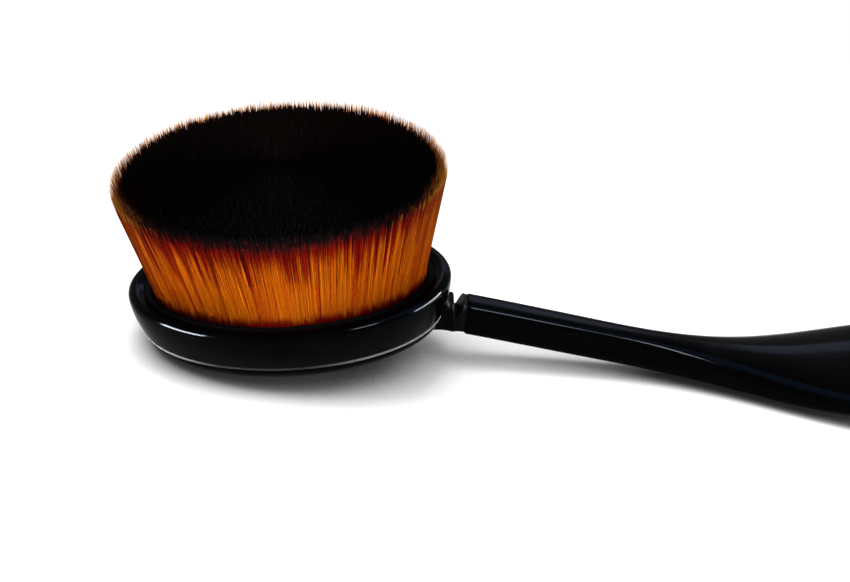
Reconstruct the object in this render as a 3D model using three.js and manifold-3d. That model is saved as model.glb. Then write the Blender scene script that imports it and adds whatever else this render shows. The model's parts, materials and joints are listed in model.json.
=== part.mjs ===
// Oval soft-fibre brush with a flexible neck. Millimetres, +Z up.
// The brush lies on its back with the fibres up: the origin is the middle of the flat land under
// the head that it rests on, +X runs from the head along the handle, and Z = 0 is the table.

import * as THREE from 'three';
import { mergeVertices } from 'three/addons/utils/BufferGeometryUtils.js';
import Module from 'manifold-3d';

const wasm = await Module();
wasm.setup();

// ---- Driving dimensions ----

// Head: an oval dish. Its own frame has Z = 0 at the seam between dish and back cover.
const rimHalfLength = 29;
const rimHalfWidth = 19.4;
const dishHeight = 8.4;
const wallTaper = 2.05;
const rimRounding = 1.2;
const rimSlope = 0.4;
const rimInnerEdge = 0.3;
const wallCurve = 1.7;
const wellEdge = 0.4;
const rimWidth = 2.9;
const dishFloorTop = 3.0;
const dishFloor = 1.2;
const dishWall = 1.7;

const domeDepth = 5.5;
const coverWall = 1.6;
const lipHeight = 1.25;
const lipWall = 1.2;

const headPitch = THREE.MathUtils.degToRad(8.7);
const restLandDepth = 0.35;

// Fibre pack: a tray, the resin that holds the fibre roots, and the fibres.
const trayWall = 1.1;
const trayFloor = 1.0;
const trayEdge = 0.4;
const resinThickness = 1.2;
const fibreLength = 25.4;
const fibreFlareLength = 5.0;
const fibreFlareWidth = 9.9;
const fibreShoulder = 1.7;
const fibreCrown = 0.9;

// Neck: a stub on the back cover, a flexible spine across the notch, and the handle's front end.
const neckHalfWidth = 2.8;
const neckHalfHeight = 3.3;
const neckCentreHeight = -0.9;
const stubOverhang = 2.3;
const stubLength = 14.6;
const neckGap = 1.6;
const notchDepth = 3.0;
const spineHalfWidth = 1.2;
const spineHalfHeight = 0.8;
const webLip = 0.3;
const webLipDrop = 0.4;
const headTongue = 6.5;
const handleTongue = 16;

// Handle: slim at the neck, then a broad flat paddle whose lowest point touches the table.
const handleLength = 108;
const lowPointReach = 59.5;
const paddleStart = 23.4;
const paddleHalfWidth = 16;
const lowHalfHeight = 3.4;
const tailHalfHeight = 2.4;
const tailRise = 6.5;
const tailRounding = 12;
const tailTip = 0.18;
const handleSlope = 0.13;
const slopeHold = 0.41;
const levelFrom = 0.72;
const riseFrom = 0.37;
const ridgeSharpness = 4.2;
const paddleSharpness = 2.5;
const shellWall = 1.3;
const hollowStart = 38;
const tailWall = 10;
const postRadius = 2.0;
const pinRadius = 0.8;
const pinHeight = 1.0;
const postMargin = [6, 9];
const joinOverlap = 0.2;

// Clearances between pieces that touch.
const clearance = 0.3;
const spineClearance = 0.25;

// Mesh fineness.
const ovalSegments = 48;
const handleSteps = 30;
const sectionSegments = 12;
const postSegments = 12;

const dishColour = 0x060607;
const coverColour = 0x070708;
const trayColour = 0x0a0a0b;
const resinColour = 0x2a1608;
const fibreColour = 0xb8701c;
const spineColour = 0x0b0b0c;
const handleColour = 0x060608;

// ---- Helpers ----

function glossy(colour) {
  return new THREE.MeshStandardMaterial({ color: colour, roughness: 0.12, metalness: 0 });
}

function matte(colour, roughness) {
  return new THREE.MeshStandardMaterial({ color: colour, roughness, metalness: 0 });
}

// A body of oval rings [half length, half width, height], from the axis below to the axis above.
function ovalBody(rings) {
  const outline = rings.map(([halfLength, , height]) => new THREE.Vector2(halfLength, height));
  const body = new THREE.LatheGeometry(outline, ovalSegments);
  const { position } = body.attributes;
  for (let i = 0; i < position.count; i += 1) {
    const [halfLength, halfWidth] = rings[i % rings.length];
    const narrowing = halfLength > 0 ? halfWidth / halfLength : 1;
    position.setZ(i, position.getZ(i) * narrowing);
  }
  return body.rotateX(Math.PI / 2);
}

// The oval at a given distance inside the rim's outer edge.
function inside(inset, height) {
  return [rimHalfLength - inset, rimHalfWidth - inset, height];
}

function solid(geometry) {
  const bare = geometry.clone();
  bare.deleteAttribute('normal');
  bare.deleteAttribute('uv');
  const merged = mergeVertices(bare, 1e-4);
  const vertProperties = new Float32Array(merged.attributes.position.array);
  const triVerts = new Uint32Array(merged.index.array);
  return new wasm.Manifold(new wasm.Mesh({ numProp: 3, vertProperties, triVerts }));
}

function geometryOf(manifold) {
  const mesh = manifold.getMesh();
  const geometry = new THREE.BufferGeometry();
  geometry.setAttribute('position', new THREE.BufferAttribute(new Float32Array(mesh.vertProperties), 3));
  geometry.setIndex(new THREE.BufferAttribute(new Uint32Array(mesh.triVerts), 1));
  geometry.computeVertexNormals();
  return geometry;
}

function named(name, geometry, material) {
  const mesh = new THREE.Mesh(geometry, material);
  mesh.name = name;
  return mesh;
}

// A box between two corners, turned in the XZ plane about its middle of the low-X face.
function bar(start, length, halfWidth, halfHeight, slope) {
  const box = new THREE.BoxGeometry(length, 2 * halfWidth, 2 * halfHeight);
  box.translate(length / 2, 0, 0);
  box.rotateY(-Math.atan(slope));
  return box.translate(start.x, 0, start.y);
}

// ---- Where the head and the handle meet ----

// The pitched dome rests on its land, so its support height and foot give the head's place.
const seamHalfLength = rimHalfLength - wallTaper;
const seamHalfWidth = rimHalfWidth - wallTaper;
const seamGap = clearance;
const stubReach = seamHalfLength + stubOverhang;
const stubRoot = stubReach - stubLength;
const domeReach = seamHalfLength * Math.sin(headPitch);
const domeDrop = domeDepth * Math.cos(headPitch);
const domeSupport = Math.hypot(domeReach, domeDrop);
const footX = -(seamHalfLength ** 2) * Math.sin(headPitch) / domeSupport;
const footZ = -(domeDepth ** 2) * Math.cos(headPitch) / domeSupport;
const headPlaceX = -(footX * Math.cos(headPitch) - footZ * Math.sin(headPitch));
const coverDrop = seamGap / 2;
const headPlaceZ = domeSupport + coverDrop * Math.cos(headPitch) - restLandDepth;

function toRow(x, z) {
  return new THREE.Vector2(
    headPlaceX + x * Math.cos(headPitch) - z * Math.sin(headPitch),
    headPlaceZ + x * Math.sin(headPitch) + z * Math.cos(headPitch),
  );
}

const webTop = neckCentreHeight + neckHalfHeight - notchDepth;
const webBottom = neckCentreHeight - neckHalfHeight;
const hingeHeight = (webTop + webBottom) / 2;
const hinge = toRow(stubReach, hingeHeight).add(new THREE.Vector2(neckGap / 2, 0));
const handleFront = hinge.x + neckGap / 2;
const neckCentre = toRow(stubReach, neckCentreHeight);
const stubTop = toRow(stubReach, neckCentreHeight + neckHalfHeight);
const stubFoot = toRow(stubReach, webBottom);

// ---- Head ----

function dishOuter(outset) {
  const rings = [];
  const wallTop = dishHeight - rimRounding;
  const wallSteps = 6;
  for (let i = 0; i <= wallSteps; i += 1) {
    const t = i / wallSteps;
    rings.push(inside(wallTaper * (1 - t) ** wallCurve - outset, seamGap / 2 + t * (wallTop - seamGap / 2)));
  }
  const roundSteps = 4;
  for (let i = 1; i <= roundSteps; i += 1) {
    const turn = (Math.PI / 2) * (i / roundSteps);
    rings.push(inside(
      rimRounding * (1 - Math.cos(turn)) - outset,
      wallTop + rimRounding * Math.sin(turn) + outset,
    ));
  }
  return rings;
}

function headDish() {
  const rimInner = dishHeight - rimSlope;
  return ovalBody([
    [0, 0, dishFloorTop - dishFloor],
    inside(wallTaper + dishWall + wellEdge, dishFloorTop - dishFloor),
    inside(wallTaper + dishWall, dishFloorTop - dishFloor - wellEdge),
    inside(wallTaper + dishWall, seamGap / 2),
    ...dishOuter(0),
    inside(rimWidth - rimInnerEdge, rimInner),
    inside(rimWidth, rimInner - rimInnerEdge),
    inside(rimWidth, dishFloorTop),
    [0, 0, dishFloorTop],
  ]);
}

function backCover() {
  const rings = [];
  const domeSteps = 9;
  for (let i = 0; i <= domeSteps; i += 1) {
    const turn = (Math.PI / 2) * (i / domeSteps);
    rings.push([
      seamHalfLength * Math.sin(turn),
      seamHalfWidth * Math.sin(turn),
      -coverDrop - domeDepth * Math.cos(turn),
    ]);
  }
  const lipOuter = wallTaper + dishWall + clearance;
  const lipInner = lipOuter + lipWall;
  rings.push(inside(lipOuter, -coverDrop));
  rings.push(inside(lipOuter, lipHeight));
  rings.push(inside(lipInner, lipHeight));
  const innerLength = seamHalfLength - coverWall - lipWall;
  const innerWidth = seamHalfWidth - coverWall - lipWall;
  for (let i = domeSteps - 1; i >= 0; i -= 1) {
    const turn = (Math.PI / 2) * (i / domeSteps);
    const shrink = Math.sin(turn);
    const height = -coverDrop - (domeDepth - coverWall) * Math.cos(turn);
    rings.push([innerLength * shrink, innerWidth * shrink, height]);
  }
  const shell = solid(ovalBody(rings));

  const stubShape = roundedSection(neckHalfWidth, neckHalfHeight);
  const stub = new THREE.ExtrudeGeometry(stubShape, { depth: stubReach - stubRoot, bevelEnabled: false });
  stub.rotateX(Math.PI / 2);
  stub.rotateZ(Math.PI / 2);
  stub.translate(stubRoot, 0, neckCentreHeight);

  const dishSpace = ovalBody([
    [0, 0, -coverDrop],
    inside(wallTaper - clearance, -coverDrop),
    ...dishOuter(clearance),
    [0, 0, dishHeight + clearance],
  ]);
  const table = new THREE.BoxGeometry(4 * rimHalfLength, 4 * rimHalfWidth, 2 * domeDepth);
  table.translate(0, 0, -domeDepth - headPlaceZ);
  table.rotateY(headPitch);
  const pocket = bar(
    new THREE.Vector2(stubReach - headTongue - clearance, hingeHeight),
    headTongue + 2 * clearance,
    spineHalfWidth + clearance,
    spineHalfHeight + clearance,
    0,
  );
  const cover = shell.add(solid(stub).subtract(solid(dishSpace)));
  return geometryOf(cover.subtract(solid(table)).subtract(solid(pocket)));
}

// The neck's section: a rectangle whose corners follow the handle's ridge.
function roundedSection(halfWidth, halfHeight) {
  const shape = new THREE.Shape();
  const points = 4 * Math.round(sectionSegments / 2);
  for (let i = 0; i < points; i += 1) {
    const [u, v] = ridgePoint((2 * Math.PI * i) / points, ridgeSharpness);
    if (i === 0) {
      shape.moveTo(halfWidth * u, halfHeight * v);
    } else {
      shape.lineTo(halfWidth * u, halfHeight * v);
    }
  }
  shape.closePath();
  return shape;
}

function ridgePoint(angle, sharpness) {
  const u = Math.sign(Math.cos(angle)) * Math.abs(Math.cos(angle)) ** (2 / sharpness);
  const v = Math.sign(Math.sin(angle)) * Math.abs(Math.sin(angle)) ** (2 / sharpness);
  return [u, v];
}

// ---- Fibre pack ----

const trayBase = dishFloorTop + clearance;
const resinBase = trayBase + trayFloor + clearance;
const fibreBase = resinBase + resinThickness + clearance;
const trayTop = dishHeight - rimSlope - clearance;
const trayInset = rimWidth + clearance;
const packInset = trayInset + trayWall + clearance;

function tuftTray() {
  return ovalBody([
    [0, 0, trayBase],
    inside(trayInset + trayEdge, trayBase),
    inside(trayInset, trayBase + trayEdge),
    inside(trayInset, trayTop),
    inside(trayInset + trayWall, trayTop),
    inside(trayInset + trayWall, trayBase + trayFloor),
    [0, 0, trayBase + trayFloor],
  ]);
}

function resinBed() {
  return ovalBody([
    [0, 0, resinBase],
    inside(packInset, resinBase),
    inside(packInset, resinBase + resinThickness),
    [0, 0, resinBase + resinThickness],
  ]);
}

function fibreTuft() {
  const rings = [[0, 0, fibreBase], inside(packInset, fibreBase)];
  const flareStart = trayTop + clearance;
  const tipHeight = fibreBase + fibreLength;
  const shoulderHeight = tipHeight - fibreShoulder;
  const flareSteps = 5;
  for (let i = 0; i <= flareSteps; i += 1) {
    const t = i / flareSteps;
    const [halfLength, halfWidth] = inside(packInset, 0);
    rings.push([
      halfLength + fibreFlareLength * t,
      halfWidth + fibreFlareWidth * t,
      flareStart + t * (shoulderHeight - flareStart),
    ]);
  }
  const [tipLength, tipWidth] = rings[rings.length - 1];
  const shoulderSteps = 3;
  for (let i = 1; i <= shoulderSteps; i += 1) {
    const turn = (Math.PI / 2) * (i / shoulderSteps);
    const pull = 2 * fibreShoulder * (1 - Math.cos(turn));
    rings.push([tipLength - pull, tipWidth - pull, shoulderHeight + fibreShoulder * Math.sin(turn)]);
  }
  rings.push([tipLength / 2, tipWidth / 2, tipHeight + 0.7 * fibreCrown]);
  rings.push([0, 0, tipHeight + fibreCrown]);
  return ovalBody(rings);
}

// ---- Handle ----

function smooth(t) {
  const s = THREE.MathUtils.clamp(t, 0, 1);
  return s * s * s * (s * (6 * s - 15) + 10);
}

const paddleFull = handleLength - tailRounding;
const hollowEnd = handleLength - tailWall;
const firstPost = hollowStart + postMargin[0];
const lastPost = hollowEnd - postMargin[1];
const postPlaces = [firstPost, (firstPost + lastPost) / 2, lastPost];

const tableTouch = new THREE.Vector2(handleFront + lowPointReach, lowHalfHeight);
const handleTail = new THREE.Vector2(handleFront + handleLength, lowHalfHeight + tailRise);
const frontCentre = new THREE.Vector2(handleFront, neckCentre.y - handleSlope * neckGap / 2);
const descent = new THREE.CubicBezierCurve(
  frontCentre,
  new THREE.Vector2(
    handleFront + slopeHold * lowPointReach,
    frontCentre.y - handleSlope * slopeHold * lowPointReach,
  ),
  new THREE.Vector2(handleFront + levelFrom * lowPointReach, lowHalfHeight),
  tableTouch,
);
const rise = new THREE.QuadraticBezierCurve(
  tableTouch,
  new THREE.Vector2(tableTouch.x + riseFrom * (handleTail.x - tableTouch.x), lowHalfHeight),
  handleTail,
);

// Height of the handle's centre line at a distance behind its front end.
function centreAt(reach) {
  const x = handleFront + reach;
  const curve = reach < lowPointReach ? descent : rise;
  let low = 0;
  let high = 1;
  for (let i = 0; i < 30; i += 1) {
    const middle = (low + high) / 2;
    if (curve.getPoint(middle).x < x) {
      low = middle;
    } else {
      high = middle;
    }
  }
  return curve.getPoint((low + high) / 2).y;
}

function tailFactor(reach) {
  const into = THREE.MathUtils.clamp((reach - (handleLength - tailRounding)) / tailRounding, 0, 1);
  return Math.max(tailTip, Math.sqrt(1 - into * into));
}

function halfWidthAt(reach) {
  const widening = smooth((reach - paddleStart) / (paddleFull - paddleStart));
  return (neckHalfWidth + (paddleHalfWidth - neckHalfWidth) * widening) * tailFactor(reach);
}

function halfHeightAt(reach) {
  const front = THREE.MathUtils.lerp(neckHalfHeight, lowHalfHeight, smooth(reach / lowPointReach));
  const backShare = (reach - lowPointReach) / (handleLength - lowPointReach);
  const back = THREE.MathUtils.lerp(lowHalfHeight, tailHalfHeight, backShare);
  const height = reach < lowPointReach ? front : back;
  return height * Math.sqrt(tailFactor(reach));
}

function sharpnessAt(reach) {
  return THREE.MathUtils.lerp(ridgeSharpness, paddleSharpness, smooth(reach / lowPointReach));
}

// One half of the handle, side 1 above or -1 below, its wall pulled in and its open face set off.
function halfHandle(side, from, to, steps, wall, openFace) {
  const shape = new THREE.Shape();
  shape.absarc(0, 0, 1, 0, Math.PI, false);
  shape.closePath();
  const body = new THREE.ExtrudeGeometry(shape, {
    depth: 1,
    steps,
    curveSegments: sectionSegments,
    bevelEnabled: false,
  });
  const { position } = body.attributes;
  for (let i = 0; i < position.count; i += 1) {
    const along = position.getZ(i);
    const reach = from + (to - from) * along;
    const angle = Math.atan2(position.getY(i), position.getX(i));
    const [u, v] = ridgePoint(THREE.MathUtils.clamp(angle, 0, Math.PI), sharpnessAt(reach));
    const halfWidth = halfWidthAt(reach) - wall;
    const halfHeight = halfHeightAt(reach) - wall;
    const height = openFace + Math.max(0, halfHeight - openFace) * Math.abs(v);
    position.setXYZ(i, handleFront + reach, side * halfWidth * u, centreAt(reach) + side * height);
  }
  return solid(body);
}

function spinePath(grow) {
  const start = new THREE.Vector2(hinge.x, hinge.y);
  return solid(bar(
    start,
    neckGap / 2 + handleTongue + grow,
    spineHalfWidth + grow,
    spineHalfHeight + grow,
    -handleSlope,
  ));
}

function post(reach, radius, low, high) {
  const cylinder = new THREE.CylinderGeometry(radius, radius, high - low, postSegments);
  cylinder.rotateX(Math.PI / 2);
  cylinder.translate(handleFront + reach, 0, centreAt(reach) + (low + high) / 2);
  return solid(cylinder);
}

function handleShell(side) {
  const split = clearance / 2;
  const hollowSteps = 10;
  let shell = halfHandle(side, 0, handleLength, handleSteps, 0, split);
  shell = shell.subtract(halfHandle(side, hollowStart, hollowEnd, hollowSteps, shellWall, -split));
  for (const reach of postPlaces) {
    const roof = halfHeightAt(reach) - shellWall + joinOverlap;
    const [low, high] = side > 0 ? [split, roof] : [-roof, -split];
    shell = shell.add(post(reach, postRadius, low, high));
    if (side > 0) {
      shell = shell.subtract(post(reach, pinRadius + clearance, -split, pinHeight + clearance));
    } else {
      shell = shell.add(post(reach, pinRadius, -split - joinOverlap, pinHeight));
    }
  }
  return geometryOf(shell.subtract(spinePath(clearance)));
}

// The flexible spine: a web that closes the neck's gap below the notch, and a tongue each way.
function neckSpine() {
  const lean = Math.tan(headPitch);
  const face = (z) => stubFoot.x - (z - stubFoot.y) * lean + spineClearance;
  const tip = toRow(stubReach, webTop).y;
  const top = stubTop.y - webLipDrop;
  const back = handleFront - spineClearance;
  const outline = new THREE.Shape();
  outline.moveTo(face(stubFoot.y), stubFoot.y);
  outline.lineTo(back, stubFoot.y - handleSlope * (back - stubFoot.x));
  outline.lineTo(back, top);
  outline.lineTo(back - webLip, top);
  outline.lineTo(face(tip), tip);
  outline.closePath();
  const web = new THREE.ExtrudeGeometry(outline, { depth: 2 * neckHalfWidth, bevelEnabled: false });
  web.translate(0, 0, -neckHalfWidth);
  web.rotateX(Math.PI / 2);
  const headSide = bar(
    new THREE.Vector2(hinge.x, hinge.y),
    neckGap / 2 + headTongue,
    spineHalfWidth,
    spineHalfHeight,
    0,
  );
  headSide.translate(-hinge.x, 0, -hinge.y);
  headSide.rotateZ(Math.PI);
  headSide.rotateY(-headPitch);
  headSide.translate(hinge.x, 0, hinge.y);
  return geometryOf(solid(web).add(solid(headSide)).add(spinePath(0)));
}

// ---- Assembly ----

const brush = new THREE.Group();

const head = new THREE.Group();
head.position.set(headPlaceX, 0, headPlaceZ);
head.rotation.y = -headPitch;
head.add(named('head_dish', headDish(), glossy(dishColour)));
head.add(named('back_cover', backCover(), glossy(coverColour)));
head.add(named('tuft_tray', tuftTray(), matte(trayColour, 0.5)));
head.add(named('resin_bed', resinBed(), matte(resinColour, 0.4)));
head.add(named('fibre_tuft', fibreTuft(), matte(fibreColour, 0.6)));
brush.add(head);

brush.add(named('neck_spine', neckSpine(), matte(spineColour, 0.55)));
brush.add(named('handle_top_shell', handleShell(1), glossy(handleColour)));
brush.add(named('handle_bottom_shell', handleShell(-1), glossy(handleColour)));

export default brush;
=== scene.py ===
"""Looks of an oval soft-fibre brush: glossy dish and cover, two-shell handle, flexible neck and dense tuft.

Every piece is in metres in the packed model's own frame. The head's pieces are drawn in the head's frame,
where Z = 0 is the seam between dish and cover, and are then turned up by the head's pitch.
"""

import json
import math

import bmesh
import bpy
import numpy as np
from bpy.props import FloatProperty, FloatVectorProperty, IntProperty, PointerProperty
from bpy.types import Operator, Panel, PropertyGroup
from mathutils import Matrix, Vector


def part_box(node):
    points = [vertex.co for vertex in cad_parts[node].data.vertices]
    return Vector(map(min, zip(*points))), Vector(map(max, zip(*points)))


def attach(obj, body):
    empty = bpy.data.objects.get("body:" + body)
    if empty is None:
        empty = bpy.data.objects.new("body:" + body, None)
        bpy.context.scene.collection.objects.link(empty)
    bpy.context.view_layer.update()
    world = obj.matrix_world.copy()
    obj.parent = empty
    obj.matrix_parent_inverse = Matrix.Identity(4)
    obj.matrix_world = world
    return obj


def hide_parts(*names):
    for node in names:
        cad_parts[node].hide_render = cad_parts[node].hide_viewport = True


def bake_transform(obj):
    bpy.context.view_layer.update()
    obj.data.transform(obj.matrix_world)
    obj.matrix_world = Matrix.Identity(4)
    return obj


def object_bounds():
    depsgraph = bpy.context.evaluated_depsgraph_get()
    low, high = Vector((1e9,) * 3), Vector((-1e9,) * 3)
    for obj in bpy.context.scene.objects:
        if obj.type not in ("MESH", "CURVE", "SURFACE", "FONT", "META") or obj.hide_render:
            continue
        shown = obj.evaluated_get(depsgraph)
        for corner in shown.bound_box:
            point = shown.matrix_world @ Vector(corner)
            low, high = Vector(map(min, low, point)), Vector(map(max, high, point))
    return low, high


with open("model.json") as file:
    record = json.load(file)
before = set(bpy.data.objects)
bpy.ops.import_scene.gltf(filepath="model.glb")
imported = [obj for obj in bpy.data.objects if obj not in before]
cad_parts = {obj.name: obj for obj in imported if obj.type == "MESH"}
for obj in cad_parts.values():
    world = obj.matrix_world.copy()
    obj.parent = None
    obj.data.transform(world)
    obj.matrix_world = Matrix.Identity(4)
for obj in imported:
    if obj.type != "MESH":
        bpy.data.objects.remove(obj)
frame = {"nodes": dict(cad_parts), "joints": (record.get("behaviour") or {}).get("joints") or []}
cad_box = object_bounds()

bl_info = {
    "name": "Oval Brush Maker",
    "version": (1, 0, 0),
    "blender": (4, 5, 0),
    "location": "View3D > Sidebar > Brush",
    "description": "Builds the pieces and finishes of an oval soft-fibre brush around its packed model",
    "category": "Object",
}

DISH_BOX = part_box("head_dish")
HANDLE_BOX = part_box("handle_top_shell")
HINGE = Vector(frame["joints"][0]["pos_m"])


# ---- Sizes and colours a user would change ----


def length(name, description, default):
    return FloatProperty(name=name, description=description, default=default, unit="LENGTH", precision=5)


def share(name, description, default):
    return FloatProperty(name=name, description=description, default=default, min=0.0)


def amount(name, description, default):
    return IntProperty(name=name, description=description, default=default, min=1)


def angle(name, description, degrees):
    return FloatProperty(name=name, description=description, default=math.radians(degrees), subtype="ANGLE")


def colour(name, description, default):
    return FloatVectorProperty(
        name=name, description=description, default=default, subtype="COLOR", size=3, min=0.0, max=1.0
    )


class BRUSH_PG_head(PropertyGroup):
    """The dish, the back cover under it and the neck stub on the cover"""

    rim_half_length: length("Rim half length", "From the middle to the outer edge along the handle", 0.029)
    rim_half_width: length("Rim half width", "From the middle to the outer edge across", DISH_BOX[1].y)
    pitch: angle("Pitch", "How far the head's neck end is tilted up", 8.7)
    dish_height: length("Dish height", "From the seam to the top of the rim", 0.0084)
    wall_taper: length("Wall taper", "How far the wall draws in from the rim to the seam", 0.00205)
    rim_rounding: length("Rim rounding", "Radius of the rim's outer edge", 0.0012)
    rim_width: length("Rim width", "Width of the rim's flat top", 0.0029)
    rim_slope: length("Rim slope", "How far the rim's top falls towards the well", 0.0004)
    well_floor: length("Well floor", "Height of the well's floor above the seam", 0.003)
    bead: length("Seam bead", "How far the small bead along the seam stands proud", 0.00022)
    seam_gap: length("Seam gap", "Width of the seam between dish and cover", 0.00016)
    dome_depth: length("Dome depth", "Depth of the back cover below the seam", 0.0055)


class BRUSH_PG_neck(PropertyGroup):
    """The stub, the notch and the web between head and handle"""

    half_width: length("Half width", "Half the neck's width", 0.0028)
    half_height: length("Half height", "Half the neck's height", 0.0033)
    drop: length("Drop", "How far the neck's middle lies below the seam", 0.0009)
    overhang: length("Overhang", "How far the stub stands out from the seam's end", 0.0023)
    gap: length("Gap", "Opening between stub and handle", 0.0016)
    notch_depth: length("Notch depth", "Depth of the V-shaped notch", 0.003)
    edge: length("Edge rounding", "Rounding where the stub ends", 0.00045)
    handle_edge: length("Handle edge rounding", "Rounding of the handle's front end", 0.0006)


class BRUSH_PG_handle(PropertyGroup):
    """The handle: slim at the neck, a broad flat paddle behind"""

    length: length("Length", "From the front end to the tail", HANDLE_BOX[1].x - HANDLE_BOX[0].x)
    paddle_half_width: length("Paddle half width", "Half the paddle's greatest width", HANDLE_BOX[1].y)
    low_reach: length("Low point", "From the front end to where the handle touches the table", 0.0595)
    paddle_start: length("Paddle start", "From the front end to where the handle starts to widen", 0.0234)
    low_half_height: length("Low half height", "Half the thickness at the low point", 0.0034)
    tail_half_height: length("Tail half height", "Half the thickness at the tail", 0.0024)
    tail_rise: length("Tail rise", "How far the tail's middle stands above the low point's", 0.0065)
    tail_rounding: length("Tail rounding", "Length of the rounded tail end", 0.012)
    slope: share("Front slope", "Fall of the centre line at the front end", 0.13)
    ridge_sharpness: share("Ridge sharpness", "Squareness of the section at the neck", 4.2)
    paddle_sharpness: share("Paddle sharpness", "Squareness of the section from the low point on", 2.5)
    seam: length("Seam depth", "Depth of the fine groove between the two shells", 0.00012)


class BRUSH_PG_fibres(PropertyGroup):
    """The tuft: its outline, the number of fibres and their colours"""

    root_height: length("Root height", "Height of the fibre roots above the seam", 0.0061)
    length: length("Length", "From root to tip in the middle of the side", 0.0254)
    inset: length("Inset", "How far the tuft's foot lies inside the rim's outer edge", 0.0046)
    flare_length: length("Flare along", "How much further the tips reach along the handle", 0.005)
    flare_width: length("Flare across", "How much further the tips reach across", 0.0099)
    shoulder: length("Shoulder", "How much shorter the outermost fibres are", 0.0011)
    crown: length("Crown", "How far the middle of the top stands above its edge", 0.0009)
    radius: length("Radius", "A fibre's radius at its thickest", 0.000095)
    spread: length("Length spread", "How much fibre lengths vary", 0.0007)
    layers: amount("Layers", "Layers of whole fibres round the side", 7)
    per_layer: amount("Fibres per layer", "Fibres in each layer", 940)
    # Painted glow: round the back, the tips of the outermost layers are painted pale as if light shone
    # through them.
    undyed_layers: amount("Undyed layers", "Outermost layers with undyed fibres round the back", 2)
    undyed_from: angle("Undyed from", "Turn from the front at which the undyed fibres start", 56.0)
    tip_spacing: length("Tip spacing", "Distance between neighbouring tips on top", 0.00042)
    amber: colour("Amber", "Fibres along most of their length", (0.29, 0.027, 0.0001))
    honey: colour("Honey", "The lightest fibres", (0.41, 0.084, 0.0006))
    ember: colour("Ember", "Fibres where they darken towards root and tip", (0.15, 0.0016, 0.0002))
    soot: colour("Soot", "The dyed tips", (0.0004, 0.0002, 0.0002))
    # The pale tip colour of the painted glow, standing in for light shining through the thin tips.
    straw: colour("Straw", "The tips of the undyed fibres", (0.46, 0.19, 0.022))


class BRUSH_PG_finish(PropertyGroup):
    """Colours and gloss of the moulded parts"""

    black: colour("Black", "The gloss plastic", (0.0004, 0.0004, 0.0005))
    haze: colour("Haze", "The gloss plastic where it has been handled", (0.0010, 0.0011, 0.0015))
    # The pale colour of the painted highlight line along the dish's seam.
    worn_edge: colour("Worn edge", "The dulled line along the dish's seam", (0.16, 0.165, 0.17))
    rubber: colour("Rubber", "The flexible web in the neck", (0.0002, 0.0002, 0.00025))
    resin: colour("Resin", "The resin that holds the fibre roots", (0.028, 0.009, 0.003))


class BRUSH_PG_stage(PropertyGroup):
    """Camera, lamps and floor"""

    lens: FloatProperty(name="Lens", description="Focal length in millimetres", default=84.7)
    distance: length("Distance", "From the camera to the table under the head's middle", 0.3662)
    azimuth: angle("Azimuth", "Camera's turn about the head", -4.37)
    elevation: angle("Elevation", "Camera's height above the table", 32.68)
    roll: angle("Roll", "Camera's turn about its own axis", 6.92)
    shift_right: length("Shift right", "How far the camera is moved to its right", 0.02455)
    shift_up: length("Shift up", "How far the camera is moved up", 0.00993)
    floor: colour("Floor", "The table", (0.90, 0.90, 0.905))
    white_from: length("White from", "Distance from the brush at which the table is pure white", 0.16)
    shadow_reach: length("Shadow reach", "How near the brush has to be for the table to darken", 0.019)
    ambient: share("Ambient", "Light from the room all round, as a share of white", 0.28)


# ---- Shader maths ----


class Term:
    """A socket that takes part in Python sums: each operator adds the Math node it stands for."""

    def __init__(self, finish, socket):
        self.finish = finish
        self.socket = socket

    def _math(self, operation, *values):
        return self.finish.node("ShaderNodeMath", {"operation": operation}, dict(enumerate(values)))

    def __add__(self, other):
        return self._math("ADD", self, other)

    def __radd__(self, other):
        return self._math("ADD", other, self)

    def __sub__(self, other):
        return self._math("SUBTRACT", self, other)

    def __rsub__(self, other):
        return self._math("SUBTRACT", other, self)

    def __mul__(self, other):
        return self._math("MULTIPLY", self, other)

    def __rmul__(self, other):
        return self._math("MULTIPLY", other, self)


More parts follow.
